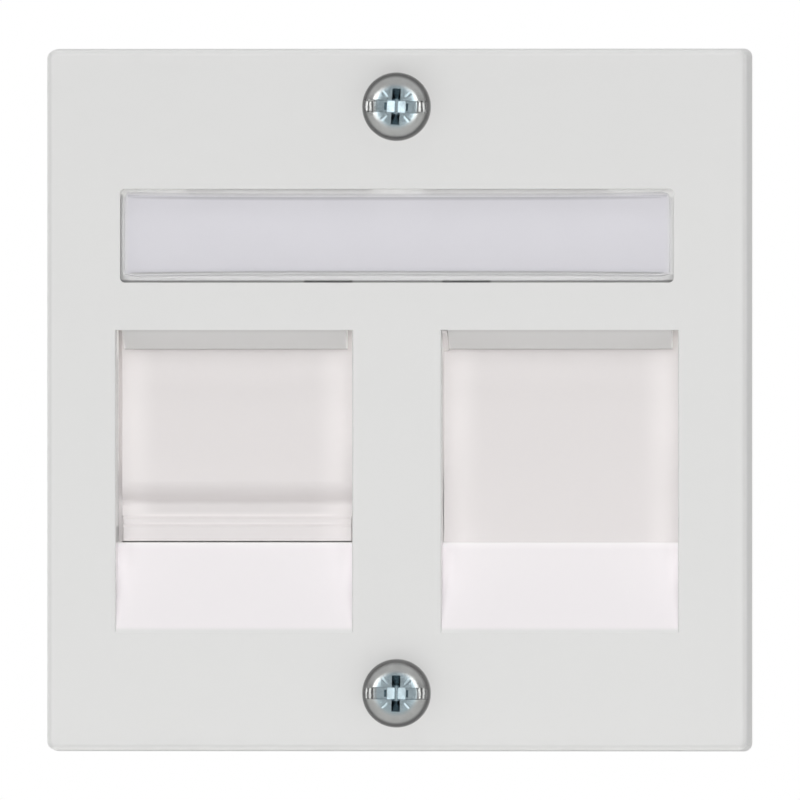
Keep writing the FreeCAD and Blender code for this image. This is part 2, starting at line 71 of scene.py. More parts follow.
MM = 0.001
PLATE_LOW, PLATE_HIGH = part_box("face_plate")
SCREW_LOW, SCREW_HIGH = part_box("upper_screw")
CARD_LOW, CARD_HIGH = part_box("label_strip")
FRONT_Y = PLATE_LOW.y
SCREW_UP = (SCREW_LOW.z + SCREW_HIGH.z) / 2
# The plate's middle, both across and up
MIDDLE = 0.0
# The label pocket's foot, top and side, and where the window's snap tabs start and end
LABEL_FOOT = CARD_LOW.z - 0.7 * MM
LABEL_TOP = CARD_HIGH.z + 0.4 * MM
LABEL_SIDE = CARD_HIGH.x + 0.5 * MM
TAB_START = 3.2 * MM
TAB_END = 6.6 * MM
# Half the distance between the ports' middles, half a port's width, the levels of the sills, of the ports'
# tops and of the scoops' feet, and how far back the leaves stand
PORT_MIDDLE = 11.535 * MM
PORT_HALF = 8.375 * MM
SILL_UP = -10.1 * MM
PORT_TOP = 4.94 * MM
PORT_FOOT = -16.49 * MM
LEAF_Y = FRONT_Y + 4.0 * MM
# Where the painted shade in the shutter's groove is darkest, the edges of the lip's two steps, which get
# painted highlights, and the top of the painted shade beside the lip
GROOVE_UP = -7.55 * MM
STEP_EDGES = (-8.2 * MM, -8.77 * MM)
LIP_GAP_SHADE_TOP = -8.8 * MM

WHITE = (1.0, 1.0, 1.0, 1.0)
BLACK = (0.0, 0.0, 0.0, 1.0)
# Painted light and painted shade at spots, as shares of a material's colour, and the flow and fibre tones
SHADE = {
    "flow mark": 0.985,
    "beside flow mark": 1.01,
    "recess": 1.11,
    "lit outer edge": 1.27,
    "shaded pocket foot": 0.81,
    "pocket": 1.05,
    "light above card": 1.32,
    "shaded left gap": 0.72,
    "shaded foot gap": 0.25,
    "shaded_tab_slot": 0.03,
    "lit scoop side": 1.13,
    "lip_gap_shade": 0.6,
    "shaded leaf foot": 0.945,
    "shaded groove": 0.865,
    "step edge highlight": 1.02,
    "low leaf side light": 1.03,
    "high leaf side light": 1.13,
    "card fibre": 0.97,
    "beside card fibre": 1.02,
    "shaded cut edge": 0.74,
    "shaded line foot": 0.5,
}
# How strong the painted glow, which stands in for light inside the white plastic, is at a spot
GLOW_SHARE = {"wall gap": 0.9, "sill gap": 0.3, "low edge": 0.45, "left edge": 0.25, "light above card": 0.25}
PLATE_ROUGHNESS = 0.42
LEAF_ROUGHNESS = 0.46
# How far the grain spreads the roughness, and the mean of the noise that makes the grain
GRAIN_SPREAD = 0.12
NOISE_MEAN = 0.5
EDGE_SAMPLES = 8
# How much of the light the window lets straight through to the eye
STRAIGHT_SHARE = 0.4
# The card's clouds and fibres, how far in from its top and foot the painted shade along the edges reaches,
# and how strong it is at each
CLOUD_SHARE = 0.6
FIBRE_SHARE = 0.4
FIBRE_STRETCH = (0.35, 1.0, 1.0)
EDGE_SHADE_FADE = (0.1 * MM, 0.3 * MM)
TOP_EDGE_SHADE = 1.0
FOOT_EDGE_SHADE = 0.2
# The card's long edges bow with this power of the distance from the middle
BOW_POWER = 4
CARD_CUTS = 15
# Where the finish of a screw head changes, as shares of the blue radius, the shoulder radius, where the
# painted shade of the rim starts, and the slot's width, and which part of a drawn line gets painted shade
# at its foot
BLUE_FADE = (0.85, 1.15)
RIM_FADE = (0.9, 1.02)
SLOT_FADE = (0.42, 0.5)
LINE_FADE = (0.3, 0.6)
# Pits in a screw's relief, clouds in its colour, and its roughness
PIT_SHARE = 0.3
ZINC_CLOUD_SHARE = 0.35
ZINC_ROUGHNESS = 0.14
ZINC_ROUGHNESS_SPREAD = 0.12
# A screw head's top falls with this power of the radius, so its middle is nearly flat
DOME_POWER = 6.2
EDGE_STEPS = 8
DOME_STEPS = 18
HEAD_SEGMENTS = 96
SHANK_SEGMENTS = 48
THREAD_STEPS = 40
SMOOTH_DEGREES = 32
HEAD_CHAMFER = 0.05 * MM
# The slot's cutter is this many head radii long, so that it runs out at both sides
SLOT_REACH = 2.2
# Ends of the cutters that make the recess, as shares of the slot's width, the arm's width and the span
SLOT_FOOT = 0.92
UPRIGHT_FOOT_ARM = 0.22
UPRIGHT_FOOT_SPAN = 0.4
LEVEL_MOUTH_SPAN = 0.9
LEVEL_FOOT_SPAN = 0.5
LEVEL_FOOT_ARM = 0.7
CORE_FLOOR_FOOT = (0.02, 0.94)
TICK_FOOT = 0.02
# Where the thread's flat crest starts and ends, as shares of the pitch, and the point's end, as a share of
# the shank's radius
CREST_START = 0.42
CREST_END = 0.58
POINT_SHARE = 0.72
# Where the tent's parts fade in and out, as parts of a view direction of length one
SWEEP_FADE = (-0.1, 0.3)
SIDES_FADE = (-0.9, -0.6)
CEILING_FADE = (0.1, 0.5)
CEILING_LIFT = 0.6
RIGHT_STRIP = ((0.1, 0.16), (0.38, 0.46))
LEFT_STRIP = ((-0.62, -0.54), (-0.26, -0.2))
STRIP_END = (0.2, 0.4)
# The soft boxes' distance in metres, and each one's elevation in degrees, width and height
BOX_REACH = 2.4
KEY_BOX = (12, 2.0, 0.6)
BROW_BOX = (28, 0.9, 0.6)
TOP_BOX = (58, 1.0, 0.9)
FLOOR_COLOURS = ((0.9, 0.9, 0.89, 1.0), (0.94, 0.94, 0.94, 1.0))
FLOOR_SEGMENTS = 96


def length(name, description, default):
    """A size in metres that the sidebar can change."""
    return bpy.props.FloatProperty(
        name=name, description=description, default=default, min=0.0, unit="LENGTH", precision=6
    )


def colour(name, description, default):
    """A colour that the sidebar can change."""
    return bpy.props.FloatVectorProperty(
        name=name, description=description, default=default, size=3, min=0.0, max=1.0, subtype="COLOR"
    )


def turn(name, description, degrees):
    """An angle that the sidebar can change."""
    return bpy.props.FloatProperty(
        name=name, description=description, default=math.radians(degrees), subtype="ANGLE"
    )


def light(name, description, default):
    """A brightness, or a power in watts, that the sidebar can change."""
    return bpy.props.FloatProperty(name=name, description=description, default=default, min=0.0)


class PLATE_PG_finish(bpy.types.PropertyGroup):
    """Colours and surface sizes of the finishes."""

    plate_colour: colour("Plate", "White of the moulded plate", (0.75, 0.75, 0.743))
    shutter_colour: colour("Shutter", "Warmer white of the shutter and the blank", (0.82, 0.786, 0.784))
    # Painted light: the scoops are painted a lighter, warmer white than the plate they are moulded in
    scoop_lit_colour: colour("Scoop", "Lighter, warmer white of the scoops", (0.872, 0.841, 0.857))
    # Painted glow: an emission colour standing in for light carried inside the plastic
    wall_glow: colour("Wall glow", "Light that the plastic carries into the gaps", (0.25, 0.246, 0.238))
    card_colour: colour("Card", "Cool white of the label card", (0.8, 0.79, 0.83))
    zinc_colour: colour("Zinc", "Plating on the slope of the screw heads", (0.6, 0.61, 0.6))
    zinc_blue: colour("Zinc, blue", "Bluer plating on the heads' flat and in the recess", (0.37, 0.46, 0.5))
    # Painted shade: the heads' rims are painted darker, and the plating's random clouds lean to this colour
    zinc_rim_shade: colour("Zinc, rim", "Duller plating round the edge of the heads", (0.17, 0.17, 0.17))
    grain_size: length("Grain", "Size of the fine grain in the moulded faces", 0.09 * MM)
    plate_edge: length("Plate edge", "Radius that the plate's edges are softened by", 0.07 * MM)
    leaf_edge: length("Leaf edge", "Radius that the leaves' edges are softened by", 0.04 * MM)


class PLATE_PG_screw(bpy.types.PropertyGroup):
    """Sizes of the pan head screws."""

    head_radius: length("Head radius", "Outer radius of the head", (SCREW_HIGH.x - SCREW_LOW.x) / 2)
    head_height: length("Head height", "From the plate to the top of the head", FRONT_Y - SCREW_LOW.y)
    shoulder_radius: length("Shoulder radius", "Where the head's top turns into its round edge", 2.2 * MM)
    dome_drop: length("Dome drop", "How far the top falls from its middle to the shoulder", 0.45 * MM)
    blue_radius: length("Blue radius", "Radius inside which the plating looks bluer", 1.5 * MM)
    slot_width: length("Slot width", "Width of the straight slot", 0.86 * MM)
    slot_depth: length("Slot depth", "Depth of the straight slot", 0.6 * MM)
    cross_span: length("Cross span", "End to end of the cross recess at its mouth", 2.7 * MM)
    cross_arm: length("Cross arm", "Width of an arm of the cross at its mouth", 0.64 * MM)
    cross_depth: length("Cross depth", "Depth of the cross recess", 1.3 * MM)
    core_width: length("Core width", "Width of the recess's core", 1.3 * MM)
    core_height: length("Core height", "Height of the recess's core", 0.84 * MM)
    core_depth: length("Core depth", "Depth of the core at its sides", 0.95 * MM)
    core_fall: length("Core fall", "How far the core's floor slopes down to its middle line", 0.08 * MM)
    tick_start: length("Tick start", "Radius where the diagonal ticks start", 0.9 * MM)
    tick_end: length("Tick end", "Radius where the diagonal ticks end", 1.42 * MM)
    tick_width: length("Tick width", "Width of a diagonal tick", 0.14 * MM)
    tick_depth: length("Tick depth", "Depth of a diagonal tick", 0.014 * MM)
    shank_radius: length("Shank radius", "Radius of the thin shank, and of the thread's root", 1.0 * MM)
    crest_radius: length("Crest radius", "Outer radius of the thread", 1.25 * MM)
    thread_pitch: length("Thread pitch", "Rise of the thread in one turn", 0.45 * MM)
    thread_start: length("Thread start", "From the rim forward to where the thread starts", 0.7 * MM)
    point_length: length("Point length", "Length of the plain point", 0.35 * MM)
    upper_tilt: turn("Upper tilt", "How far the upper screw's slot is turned", 2.8)
    lower_tilt: turn("Lower tilt", "How far the lower screw's slot is turned", 1.0)


class PLATE_PG_label(bpy.types.PropertyGroup):
    """Sizes of the label card."""

    gap: length("Gap", "Air between the card and the window", 0.03 * MM)
    top_dip: length("Top dip", "How far the card's upper edge dips in the middle", 0.16 * MM)
    foot_rise: length("Foot rise", "How far the card's lower edge rises in the middle", 0.1 * MM)


class PLATE_PG_stage(bpy.types.PropertyGroup):
    """Camera, floor and light."""

    azimuth: turn("Azimuth", "How far the camera stands to the right", 1.95)
    distance: length("Distance", "From the camera to the plate's front", 1.5727)
    lens: bpy.props.FloatProperty(
        name="Lens", description="Focal length, in millimetres", default=1000.0, min=1.0,
        subtype="DISTANCE_CAMERA",
    )
    aim_right: length("Aim right", "How far right of the plate's middle the camera aims", 0.23 * MM)
    floor_drop: length("Floor drop", "From the plate's lower edge down to the floor", 10.0 * MM)
    floor_radius: length("Floor radius", "Radius of the round floor", 0.28)
    back_light: light("Back light", "Brightness of the white sweep behind the plate", 0.62)
    key_light: light("Key box", "Power of the wide soft box above the lens, in watts", 15.3)
    brow_light: light("Brow box", "Power of the soft box above the key box, in watts", 11.2)
    top_light: light("Top box", "Power of the soft box overhead, in watts", 9.0)
    side_light: light("Side light", "Brightness of the tent's sides, in front of the plate", 0.385)
    room_light: light("Room", "Brightness of the room that gloss reflects", 0.4)
    strip_light: light("Strips", "Brightness of the two upright strips that gloss reflects", 3.0)


class Signal:
    """One output of a shader tree. Arithmetic on it adds Math nodes."""

    def __init__(self, sheet, socket):
        self.sheet = sheet
        self.socket = socket

    def math(self, operation, left, right):
        return self.sheet.add("ShaderNodeMath", {"operation": operation}, {0: left, 1: right})

    def __add__(self, other):
        return self.math("ADD", self, other)

    def __radd__(self, other):
        return self.math("ADD", other, self)

    def __sub__(self, other):
        return self.math("SUBTRACT", self, other)

    def __rsub__(self, other):
        return self.math("SUBTRACT", other, self)

    def __mul__(self, other):
        return self.math("MULTIPLY", self, other)

    def __rmul__(self, other):
        return self.math("MULTIPLY", other, self)

    def __pow__(self, other):
        return self.math("POWER", self, other)

    def __abs__(self):
        return self.math("ABSOLUTE", self, 0.0)

    def larger(self, other):
        return self.math("MAXIMUM", self, other)


class NodeSheet:
    """A shader tree that starts empty."""

    def __init__(self, tree):
        self.tree = tree
        tree.nodes.clear()

    def add(self, kind, settings=None, sockets=None, output=0):
        """Add a node: its settings first, then the values or links of its sockets. Returns one output."""
        node = self.tree.nodes.new(kind)
        for name, value in (settings or {}).items():
            setattr(node, name, value)
        for name, value in (sockets or {}).items():
            if isinstance(value, Signal):
                self.tree.links.new(value.socket, node.inputs[name])
            else:
                node.inputs[name].default_value = value
        if not len(node.outputs):
            return None
        return Signal(self, node.outputs[output])

    def place(self):
        """The place of a point on its piece, in metres."""
        return self.add("ShaderNodeTexCoord", output="Object")

    def axes(self, vector):
        """A vector's three parts: across, back and up."""
        return [self.add("ShaderNodeSeparateXYZ", None, {"Vector": vector}, output=axis) for axis in "XYZ"]

    def ray(self, kind):
        """One for a ray of the kind that is named, and nothing for others."""
        return self.add("ShaderNodeLightPath", output=kind)

    def fade(self, value, low, high, start=0.0, end=1.0):
        """A smooth step from start to end while value goes from low to high."""
        span = {"Value": value, "From Min": low, "From Max": high, "To Min": start, "To Max": end}
        return self.add("ShaderNodeMapRange", {"interpolation_type": "SMOOTHSTEP"}, span)

    def fall(self, value, low, high):
        """A smooth step from one to nothing while value goes from low to high."""
        return self.fade(value, low, high, 1.0, 0.0)

    def past(self, value, level, start, end):
        """A smooth step from nothing to one, between start and end millimetres beyond a level."""
        return self.fade(value, level + start * MM, level + end * MM)

    def short_of(self, value, level, start, end):
        """A smooth step from one to nothing, between start and end millimetres beyond a level."""
        return self.fall(value, level + start * MM, level + end * MM)

    def near(self, value, level, start, end):
        """One within start millimetres of a level, and nothing from end millimetres away."""
        return self.fall(abs(value - level), start * MM, end * MM)

    def blend(self, factor, first, second):
        """A mix of two colours."""
        return self.add("ShaderNodeMix", {"data_type": "RGBA"}, {0: factor, 6: first, 7: second}, output=2)

    def mix(self, factor, first, second):
        """A mix of two shaders."""
        return self.add("ShaderNodeMixShader", None, {0: factor, 1: first, 2: second})

    def noise(self, place, size, detail=2.0):
        """Soft noise whose spots are about the given size, in metres."""
        sockets = {"Vector": place, "Scale": 1.0 / size, "Detail": detail}
        return self.add("ShaderNodeTexNoise", None, sockets)

    def soft_edge(self, radius):
        """A normal that rounds sharp edges by a radius."""
        return self.add("ShaderNodeBevel", {"samples": EDGE_SAMPLES}, {"Radius": radius})

    def bump(self, height, strength, distance, **normal):
        """A normal with small relief. It starts from another normal where one is given."""
        relief = {"Strength": strength, "Distance": distance, "Height": height}
        return self.add("ShaderNodeBump", None, {**relief, **normal})


def new_material(name):
    material = bpy.data.materials.new(name)
    material.use_nodes = True
    return material, NodeSheet(material.node_tree)


def finish_material(sheet, sockets):
    """Give the tree its surface shader."""
    surface = sheet.add("ShaderNodeBsdfPrincipled", None, sockets)
    sheet.add("ShaderNodeOutputMaterial", None, {"Surface": surface})


def opaque(rgb, factor=1.0):
    """A shader colour from a sidebar colour, made darker or lighter."""
    return (*(min(1.0, channel * factor) for channel in rgb), 1.0)


def shaded(rgb, spot):
    """A material's colour at one of the spots that SHADE lists."""
    return opaque(rgb, SHADE[spot])


def off_port(across):
    """How far to the side of its port's middle a point is."""
    return abs(abs(across) - PORT_MIDDLE)


def shade_pocket(sheet, tint, place, rgb):
    """The label pocket: painted light above the card, painted shade below it and in the gaps round the
    window.
    """
    across, back, up = place
    pocket = sheet.short_of(abs(across), LABEL_SIDE, 0.02, 0.1)
    pocket = pocket * sheet.past(up, LABEL_FOOT, -0.1, -0.04) * sheet.short_of(up, LABEL_TOP, 0.04, 0.1)
    pocket = pocket * sheet.past(back, FRONT_Y, 0.05, 0.2) * sheet.short_of(back, CARD_HIGH.y, 0.1, 0.2)
    # Painted light on the pocket's floor, and painted shade on it below the card's foot
    unshaded_floor = sheet.past(up, CARD_LOW.z, -0.2, -0.05)
    floor = sheet.blend(unshaded_floor, shaded(rgb, "shaded pocket foot"), shaded(rgb, "pocket"))
    tint = sheet.blend(pocket, tint, floor)
    # Painted light above the card
    above_card = pocket * sheet.past(up, CARD_HIGH.z, -0.3, 0.0)
    tint = sheet.blend(above_card, tint, shaded(rgb, "light above card"))
    # Painted shade in the gap to the left of the card
    left_gap = sheet.short_of(across, -LABEL_SIDE, 0.1, 0.25) * sheet.short_of(up, CARD_HIGH.z, -0.1, 0.2)
    tint = sheet.blend(pocket * left_gap, tint, shaded(rgb, "shaded left gap"))
    # Painted shade in the gap at the pocket's foot, darkest at the window's snap tabs
    foot_gap = pocket * sheet.short_of(up, LABEL_FOOT, 0.12, 0.26)
    tint = sheet.blend(foot_gap, tint, shaded(rgb, "shaded foot gap"))
    shaded_tab_slot = sheet.past(abs(across), TAB_START, -0.05, 0.05)
    shaded_tab_slot = shaded_tab_slot * sheet.short_of(abs(across), TAB_END, -0.05, 0.05)
    tint = sheet.blend(foot_gap * shaded_tab_slot, tint, shaded(rgb, "shaded_tab_slot"))
    return tint, above_card


def shade_scoops(sheet, tint, place, rgb):
    """Painted light on the scoops, lightest high up beside their walls."""
    across, back, up = place
    aside = off_port(across)
    scoop = sheet.short_of(aside, PORT_HALF, 0.03, 0.08) * sheet.short_of(up, SILL_UP, -0.2, 0.1)
    scoop = scoop * sheet.past(up, PORT_FOOT, -0.1, 0.0) * sheet.past(back, FRONT_Y, 0.05, 0.3)
    lit_beside_wall = sheet.past(aside, PORT_HALF, -1.0, -0.1) * sheet.past(up, SILL_UP, -3.9, -1.4)
    lit_scoop = sheet.blend(lit_beside_wall, opaque(rgb), shaded(rgb, "lit scoop side"))
    return sheet.blend(scoop, tint, lit_scoop)


def shade_lip_gap(sheet, tint, place, rgb):
    """Painted shade in the gap to the left of the shutter's lip."""
    across, back, up = place
    left_side = -PORT_MIDDLE - PORT_HALF
    lip_gap_shade = sheet.short_of(up, LIP_GAP_SHADE_TOP, -0.3, 0.0) * sheet.past(up, SILL_UP, -0.05, 0.05)
    lip_gap_shade = lip_gap_shade * sheet.past(back, FRONT_Y, 0.2, 0.8) * sheet.short_of(back, LEAF_Y, 1.2, 1.8)
    lip_gap_shade = lip_gap_shade * sheet.near(across, left_side, 0.4, 0.6)
    return sheet.blend(lip_gap_shade, tint, shaded(rgb, "lip_gap_shade"))


def painted_glow(sheet, place, above_card):
    """A painted glow for light inside the white plastic: corners under the front wall, gaps and edges."""
    across, back, up = place
    aside = off_port(across)
    deep = sheet.past(back, LEAF_Y, -0.4, 0.1)
    corner = sheet.past(up, MIDDLE, 2.6, 4.0) * sheet.fade(back, FRONT_Y + 0.5 * MM, LEAF_Y - 0.2 * MM)
    wall_gap = GLOW_SHARE["wall gap"] * (1.0 - corner) * deep * sheet.past(up, MIDDLE, -6.6, -4.0)
    out = (corner + wall_gap) * sheet.past(aside, PORT_HALF, -0.6, -0.42)
    out = out + GLOW_SHARE["sill gap"] * deep * sheet.near(up, SILL_UP, 0.3, 0.8)
    out = out * sheet.short_of(aside, PORT_HALF, 0.03, 0.08) * sheet.short_of(up, PORT_TOP, 0.05, 0.15)
    out = out * sheet.short_of(back, LEAF_Y, 1.2, 1.8)
    near_front = sheet.short_of(back, FRONT_Y, 0.5, 1.2)
    low_edge = near_front * sheet.short_of(up, PLATE_LOW.z, 0.3, 0.6)
    left_edge = near_front * sheet.short_of(across, PLATE_LOW.x, 0.2, 0.5)
    out = out + GLOW_SHARE["low edge"] * low_edge + GLOW_SHARE["left edge"] * left_edge
    return out + GLOW_SHARE["light above card"] * above_card


def plate_shades(sheet, tint, place, finish):
    """Where the plate's colour holds painted light and shade. Returns its colour and the painted glow."""
    rgb = finish.plate_colour
    across, back, up = place
    # Painted light: faces set back from the front are painted lighter than the grained outer faces
    tint = sheet.blend(sheet.past(back, FRONT_Y, 0.05, 0.6), tint, shaded(rgb, "recess"))
    # Painted light lifts the plate's outer edges, standing in for light passing through them
    edge = sheet.past(abs(across).larger(abs(up)), PLATE_HIGH.x, -0.5, -0.1)
    edge = edge * sheet.short_of(back, FRONT_Y, 0.5, 1.2)
    tint = sheet.blend(edge, tint, shaded(rgb, "lit outer edge"))
    tint, above_card = shade_pocket(sheet, tint, place, rgb)
    tint = shade_scoops(sheet, tint, place, finish.scoop_lit_colour)
    tint = shade_lip_gap(sheet, tint, place, rgb)
    glow = sheet.blend(painted_glow(sheet, place, above_card), BLACK, opaque(finish.wall_glow))
    return tint, {"Emission Color": glow, "Emission Strength": 1.0}


def leaf_shades(sheet, tint, place, finish):
    """Painted shade and painted light on the shutter and the blank. They get no painted glow."""
    rgb = finish.shutter_colour
    across, _, up = place
    # Painted shade: the leaves are darker towards their foot
    tint = sheet.blend(sheet.short_of(up, MIDDLE, -4.6, 1.4), tint, shaded(rgb, "shaded leaf foot"))
    # Only the shutter, on the left, has a groove and a stepped lip
    shutter = sheet.short_of(across, MIDDLE, -2.0, -1.0)
    # Painted shade in the shutter's groove
    tint = sheet.blend(shutter * sheet.near(up, GROOVE_UP, 0.3, 0.6), tint, shaded(rgb, "shaded groove"))
    # Painted highlights along the edges of the lip's steps
    for step_up in STEP_EDGES:
        step_highlight = shutter * sheet.near(up, step_up, 0.04, 0.11)
        tint = sheet.blend(step_highlight, tint, shaded(rgb, "step edge highlight"))
    # Painted light beside the port's walls, stronger higher up
    lit_beside_wall = sheet.past(off_port(across), PORT_HALF, -3.0, -0.5)
    high = sheet.past(up, MIDDLE, -6.0, 0.0)
    side = sheet.blend(high, shaded(rgb, "low leaf side light"), shaded(rgb, "high leaf side light"))
    return sheet.blend(lit_beside_wall, tint, side), {}


def moulded_plastic(name, rgb, roughness, edge_radius, shades, finish):
    """Satin moulded plastic: faint flow marks, a fine grain, softened edges, and painted light and shade.
    """
    material, sheet = new_material(name)
    place = sheet.place()
    flow = sheet.noise(place, size=14 * MM, detail=3.0)
    grain = sheet.noise(place, size=finish.grain_size)
    tint = sheet.blend(flow, shaded(rgb, "flow mark"), shaded(rgb, "beside flow mark"))
    tint, glow_sockets = shades(sheet, tint, sheet.axes(place), finish)
    edge = sheet.soft_edge(edge_radius)
    finish_material(sheet, {
        "Base Color": tint,
        "Roughness": roughness + (grain - NOISE_MEAN) * GRAIN_SPREAD,
        "IOR": 1.5,
        "Normal": sheet.bump(grain, strength=0.12, distance=0.01 * MM, Normal=edge),
        **glow_sockets,
    })
    return material


def clear_plastic(name):
    """Clear moulded plastic with a faint waviness."""
    material, sheet = new_material(name)
    wave = sheet.noise(sheet.place(), size=5 * MM)
    solid = sheet.add("ShaderNodeBsdfPrincipled", None, {
        "Base Color": (0.985, 0.985, 1.0, 1.0),
        "Roughness": 0.03,
        "IOR": 1.49,
        "Transmission Weight": 1.0,
        "Normal": sheet.bump(wave, strength=0.05, distance=0.05 * MM),
    })
    # Lamps shine straight through onto the card, and the eye sees mostly solid plastic
    straight = sheet.add("ShaderNodeBsdfTransparent")
    lamp = sheet.ray("Is Shadow Ray").larger(sheet.ray("Is Diffuse Ray"))
    mixed = sheet.mix(lamp.larger(STRAIGHT_SHARE), solid, straight)
    sheet.add("ShaderNodeOutputMaterial", None, {"Surface": mixed})
    return material


def card_stock(name, rgb, label):
    """Uncoated card with fibres, slight clouding and painted shade along its top and foot edges."""
    material, sheet = new_material(name)
    place = sheet.place()
    stretched = sheet.add("ShaderNodeMapping", None, {"Vector": place, "Scale": FIBRE_STRETCH})
    fibre = sheet.noise(stretched, size=0.12 * MM, detail=4.0)
    cloud = sheet.noise(place, size=4 * MM)
    mottle = cloud * CLOUD_SHARE + fibre * FIBRE_SHARE
    tint = sheet.blend(mottle, shaded(rgb, "card fibre"), shaded(rgb, "beside card fibre"))
    across, _, up = sheet.axes(place)
    bow = 1.0 - (across * (1.0 / CARD_HIGH.x)) ** BOW_POWER
    below_top = CARD_HIGH.z - label.top_dip * bow - up
    above_foot = up - CARD_LOW.z - label.foot_rise * bow
    cut = sheet.fade(below_top, *EDGE_SHADE_FADE, TOP_EDGE_SHADE, 0.0) + sheet.fade(above_foot, *EDGE_SHADE_FADE, FOOT_EDGE_SHADE, 0.0)
    finish_material(sheet, {
        "Base Color": sheet.blend(cut, tint, shaded(rgb, "shaded cut edge")),
        "Roughness": 0.85,
        "Specular IOR Level": 0.2,
        "Normal": sheet.bump(fibre, strength=0.2, distance=0.01 * MM),
    })
    return material


def zinc_plate(name, finish, screw):
    """Bright zinc: bluer inside the flat, painted shade on the rim, with pits and lines across the slot's
    ends.
    """
    material, sheet = new_material(name)
    place = sheet.place()
    across, back, up = sheet.axes(place)
    # Both screws stand the same distance from the middle, so one distance from the axis serves both
    off_axis = abs(up) - SCREW_UP
    radius = (across ** 2.0 + off_axis ** 2.0) ** 0.5
    outward = sheet.fade(radius, *(screw.blue_radius * share for share in BLUE_FADE))
    outward = outward.larger(sheet.past(back, FRONT_Y, 0.0, 0.5))
    at_rim = sheet.fade(radius, *(screw.shoulder_radius * share for share in RIM_FADE))
    cloud = sheet.noise(place, size=0.7 * MM, detail=3.0)
    pits = sheet.noise(place, size=0.06 * MM, detail=3.0)
    tint = sheet.blend(outward, opaque(finish.zinc_blue), opaque(finish.zinc_colour))
    tint = sheet.blend(at_rim, tint, opaque(finish.zinc_rim_shade))
    # Each drawn line slopes to one side, and its foot is darkened as painted shade
    lines = sheet.add(
        "ShaderNodeTexWave", {"wave_type": "BANDS", "bands_direction": "X", "wave_profile": "SAW"},
        {"Vector": place, "Scale": 1080.0, "Distortion": 2.0, "Detail": 2.0, "Detail Scale": 1.5},
    )
    in_slot = 1.0 - sheet.fade(abs(off_axis), *(screw.slot_width * share for share in SLOT_FADE))
    drawn = in_slot * outward * (1.0 - at_rim)
    tint = sheet.blend(sheet.fall(lines, *LINE_FADE) * drawn, tint, shaded(finish.zinc_rim_shade, "shaded line foot"))
    height = pits * PIT_SHARE + lines * drawn
    edge = sheet.soft_edge(0.02 * MM)
    finish_material(sheet, {
        "Base Color": sheet.blend(cloud * ZINC_CLOUD_SHARE, tint, opaque(finish.zinc_rim_shade)),
        "Metallic": 1.0,
        "Roughness": ZINC_ROUGHNESS + cloud * ZINC_ROUGHNESS_SPREAD,
        "Normal": sheet.bump(height, strength=1.0, distance=0.022 * MM, Normal=edge),
    })
    return material


def select_only(piece):
    bpy.ops.object.select_all(action="DESELECT")
    piece.select_set(True)
    bpy.context.view_layer.objects.active = piece


def begin_shaping(piece):
    """Edit mode with everything of one piece selected."""
    select_only(piece)
    bpy.ops.object.mode_set(mode="EDIT")
    bpy.ops.mesh.select_all(action="SELECT")


def end_shaping():
    bpy.ops.object.mode_set(mode="OBJECT")


def settle(piece):
    """Put the piece's place, turn and scale into its mesh."""
    select_only(piece)
    bpy.ops.object.transform_apply(location=True, rotation=True, scale=True)


def close_seams(piece):
    """Merge doubles and turn all faces outwards."""
    begin_shaping(piece)
    bpy.ops.mesh.remove_doubles(threshold=0.0005 * MM)
    bpy.ops.mesh.normals_make_consistent(inside=False)
    end_shaping()


def turned(name, rings, segments):
    """A turned piece about the Y axis, drawn out ring by ring from (radius, y) pairs."""
    radius, y = rings[0]
    bpy.ops.object.select_all(action="DESELECT")
    bpy.ops.mesh.primitive_circle_add(
        vertices=segments, radius=radius, fill_type="NGON",
        location=(0.0, y, 0.0), rotation=(math.pi / 2, 0.0, 0.0),
    )
    piece = bpy.context.object
    piece.name = name
    settle(piece)
    begin_shaping(piece)
    for next_radius, next_y in rings[1:]:
        bpy.ops.mesh.extrude_region_move(TRANSFORM_OT_translate={"value": (0.0, next_y - y, 0.0)})
        share = next_radius / radius
        bpy.ops.transform.resize(value=(share, 1.0, share), center_override=(0.0, next_y, 0.0))
        radius, y = next_radius, next_y
    end_shaping()
    close_seams(piece)
    return piece


def tapered_block(name, mouth, foot, mouth_y, depth):
    """A cutter that sinks towards +Y from its mouth to a smaller or equal foot. Sizes are (across, up)."""
    bpy.ops.object.select_all(action="DESELECT")
    bpy.ops.mesh.primitive_cube_add(size=1.0, location=(0.0, mouth_y + depth / 2, 0.0))
    piece = bpy.context.object
    piece.name = name
    piece.scale = (mouth[0], depth, mouth[1])
    settle(piece)
    begin_shaping(piece)
    bpy.ops.mesh.select_all(action="DESELECT")
    end_shaping()
    for vertex in piece.data.vertices:
        vertex.select = vertex.co.y > mouth_y + depth / 2
    bpy.ops.object.mode_set(mode="EDIT")
    share = (foot[0] / mouth[0], 1.0, foot[1] / mouth[1])
    bpy.ops.transform.resize(value=share, center_override=(0.0, mouth_y + depth, 0.0))
    end_shaping()
    return piece


def carve(piece, cutters):
    """Cut each cutter out of the piece, and delete the cutter."""
    for cutter in cutters:
        select_only(piece)
        cut = piece.modifiers.new("cut", "BOOLEAN")
        cut.operation = "DIFFERENCE"
        cut.solver = "EXACT"
        cut.object = cutter
        bpy.ops.object.modifier_apply(modifier=cut.name)
        select_only(cutter)
        bpy.ops.object.delete()


def join(name, pieces):
    bpy.ops.object.select_all(action="DESELECT")
    for piece in pieces:
        piece.select_set(True)
    bpy.context.view_layer.objects.active = pieces[0]
    bpy.ops.object.join()
    joined = bpy.context.object
    joined.name = name
    joined.data.name = name
    return joined


def smooth(piece, angle_degrees):
    select_only(piece)
    bpy.ops.object.shade_smooth_by_angle(angle=math.radians(angle_degrees))


def dress(piece, material):
    piece.data.materials.clear()
    piece.data.materials.append(material)


